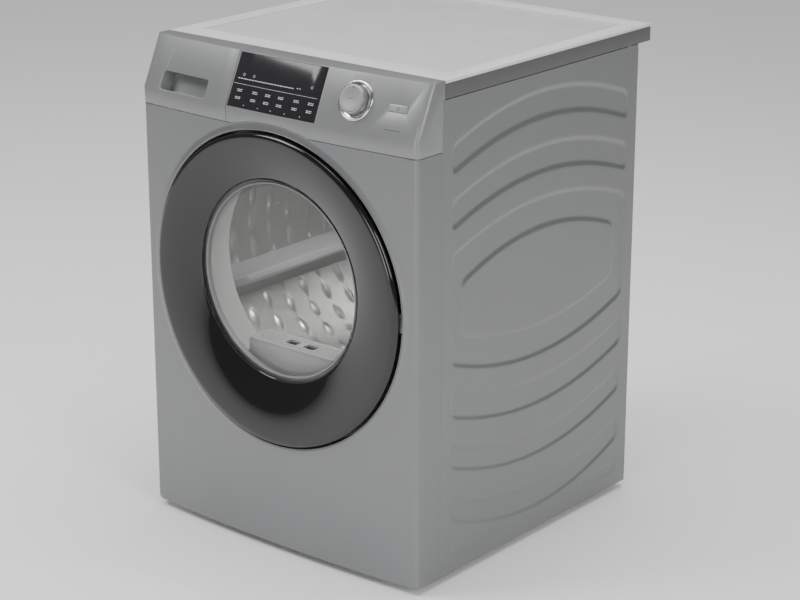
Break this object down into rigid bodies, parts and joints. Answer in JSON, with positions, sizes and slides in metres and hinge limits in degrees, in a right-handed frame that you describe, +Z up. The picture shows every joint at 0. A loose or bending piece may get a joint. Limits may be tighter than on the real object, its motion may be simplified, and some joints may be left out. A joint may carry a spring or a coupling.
{
  "type": "clothes dryer",
  "caption": "Front-loading heat-pump clothes dryer with a round glass-windowed door, slanted control fascia with dial, and a condensate drawer.",
  "frame": {"origin": "on the floor under the middle of the cabinet's bounding box", "axes": "+X to the right seen from the front, +Y to the back, +Z up; the door faces -Y"},
  "size_m": [0.595, 0.65, 0.845],
  "materials": {
    "silver_paint": "satin metallic paint",
    "fascia_silver": "satin silver",
    "worktop_rim": "satin",
    "worktop_board": "fine grain",
    "black_gloss": "high gloss",
    "smoked_glass": "smoked, polished",
    "display_black": "gloss",
    "clear_glass": "clear",
    "chrome": "polished",
    "grey_plastic": "fine grain",
    "light_plastic": "fine grain",
    "dark_plastic": "matte",
    "stainless": "brushed",
    "galvanised": "zinc coated",
    "rubber": "matte",
    "cast": "black enamel",
    "copper": "drawn tube, copper coloured",
    "board_green": "solder mask"
  },
  "bodies": {
    "cabinet": {"base_pan": "galvanised", "compressor": "cast", "condensate_pump": "dark_plastic", "condenser": "galvanised", "control_board": "board_green", "control_fascia": "fascia_silver", "cord_gland": "dark_plastic", "dial_bezel": "chrome", "display_glass": "display_black", "drive_belt": "rubber", "drive_motor": "cast", "drum_lamp": "clear_glass", "evaporator": "galvanised", "front_bulkhead": "light_plastic", "front_panel": "silver_paint", "hinge_bracket": "galvanised", "hinge_pin": "stainless", "idler_bracket": "galvanised", "latch_catch": "dark_plastic", "moisture_sensor": "stainless", "rear_bearing": "stainless", "rear_bulkhead": "galvanised", "rear_duct_cover": "galvanised", "rear_panel": "galvanised", "refrigerant_pipe": "copper", "roller_axle_left": "stainless", "roller_axle_right": "stainless", "side_panel_left": "silver_paint", "side_panel_right": "silver_paint", "tank_sleeve": "grey_plastic", "worktop_board": "worktop_board", "worktop_frame": "worktop_rim"},
    "door": {"door_trim_ring": "black_gloss", "door_window": "smoked_glass", "door_inner_frame": "grey_plastic", "door_bowl": "clear_glass", "door_hinge_arm": "galvanised", "latch_hook": "dark_plastic", "door_seal": "rubber"},
    "water_drawer": {"tank_front": "fascia_silver", "water_tank": "light_plastic", "tank_lid": "grey_plastic"},
    "dial": {"dial_knob": "fascia_silver"},
    "power_key": {"power_button": "fascia_silver"},
    "lint_filter": {"lint_filter_cover": "light_plastic", "lint_filter_screen": "grey_plastic"},
    "drum": {"drum_shell": "stainless", "lifter_1": "grey_plastic", "lifter_2": "grey_plastic", "lifter_3": "grey_plastic", "drum_shaft": "galvanised"},
    "motor_rotor": {"motor_pulley": "galvanised", "blower_wheel": "dark_plastic"},
    "idler": {"idler_pulley": "dark_plastic"},
    "left_roller": {"roller_left": "rubber"},
    "right_roller": {"roller_right": "rubber"},
    "front_left_foot": {"foot_front_left": "rubber"},
    "front_right_foot": {"foot_front_right": "rubber"},
    "rear_left_foot": {"foot_rear_left": "rubber"},
    "rear_right_foot": {"foot_rear_right": "rubber"}
  },
  "joints": [
    {"name": "door_hinge", "type": "hinge", "parent": "cabinet", "child": "door", "pos_m": [0.2692, -0.30298, 0.463], "axis": [0, 0, 1], "range_deg": [0, 98]},
    {"name": "drawer_slide", "type": "slide", "parent": "cabinet", "child": "water_drawer", "axis": [0, -1, 0], "range_m": [0, 0.38]},
    {"name": "dial_turn", "type": "hinge", "parent": "cabinet", "child": "dial", "pos_m": [0.1648, -0.29281, 0.80402], "axis": [0.0422, -0.9069, 0.4193], "continuous": true},
    {"name": "power_key_press", "type": "slide", "parent": "cabinet", "child": "power_key", "axis": [-0.0631, 0.9059, -0.4188], "range_m": [0, 0.0015], "stiffness_N_per_m": 300, "springref_m": -0.001},
    {"name": "lint_filter_lift", "type": "slide", "parent": "cabinet", "child": "lint_filter", "axis": [0, 0, 1], "range_m": [0, 0.11]},
    {"name": "drum_spin", "type": "hinge", "parent": "cabinet", "child": "drum", "pos_m": [0, -0.201, 0.4765], "axis": [0, 1, 0], "continuous": true},
    {"name": "motor_spin", "type": "hinge", "parent": "cabinet", "child": "motor_rotor", "pos_m": [0, 0.06, 0.115], "axis": [0, 1, 0], "continuous": true},
    {"name": "idler_spin", "type": "hinge", "parent": "cabinet", "child": "idler", "pos_m": [0.08087, 0.0325, 0.15354], "axis": [0, 1, 0], "continuous": true},
    {"name": "left_roller_spin", "type": "hinge", "parent": "cabinet", "child": "left_roller", "pos_m": [-0.16915, -0.189, 0.23493], "axis": [0, 1, 0], "continuous": true},
    {"name": "right_roller_spin", "type": "hinge", "parent": "cabinet", "child": "right_roller", "pos_m": [0.16915, -0.189, 0.23493], "axis": [0, 1, 0], "continuous": true},
    {"name": "front_left_foot_screw", "type": "slide", "parent": "cabinet", "child": "front_left_foot", "axis": [0, 0, -1], "range_m": [0, 0.015]},
    {"name": "front_right_foot_screw", "type": "slide", "parent": "cabinet", "child": "front_right_foot", "axis": [0, 0, -1], "range_m": [0, 0.015]},
    {"name": "rear_left_foot_screw", "type": "slide", "parent": "cabinet", "child": "rear_left_foot", "axis": [0, 0, -1], "range_m": [0, 0.015]},
    {"name": "rear_right_foot_screw", "type": "slide", "parent": "cabinet", "child": "rear_right_foot", "axis": [0, 0, -1], "range_m": [0, 0.015]}
  ],
  "couplings": [
    {"joint": "motor_spin", "follows": "drum_spin", "ratio": 22.708},
    {"joint": "idler_spin", "follows": "drum_spin", "ratio": -19.464},
    {"joint": "left_roller_spin", "follows": "drum_spin", "ratio": -12.386},
    {"joint": "right_roller_spin", "follows": "drum_spin", "ratio": -12.386}
  ]
}
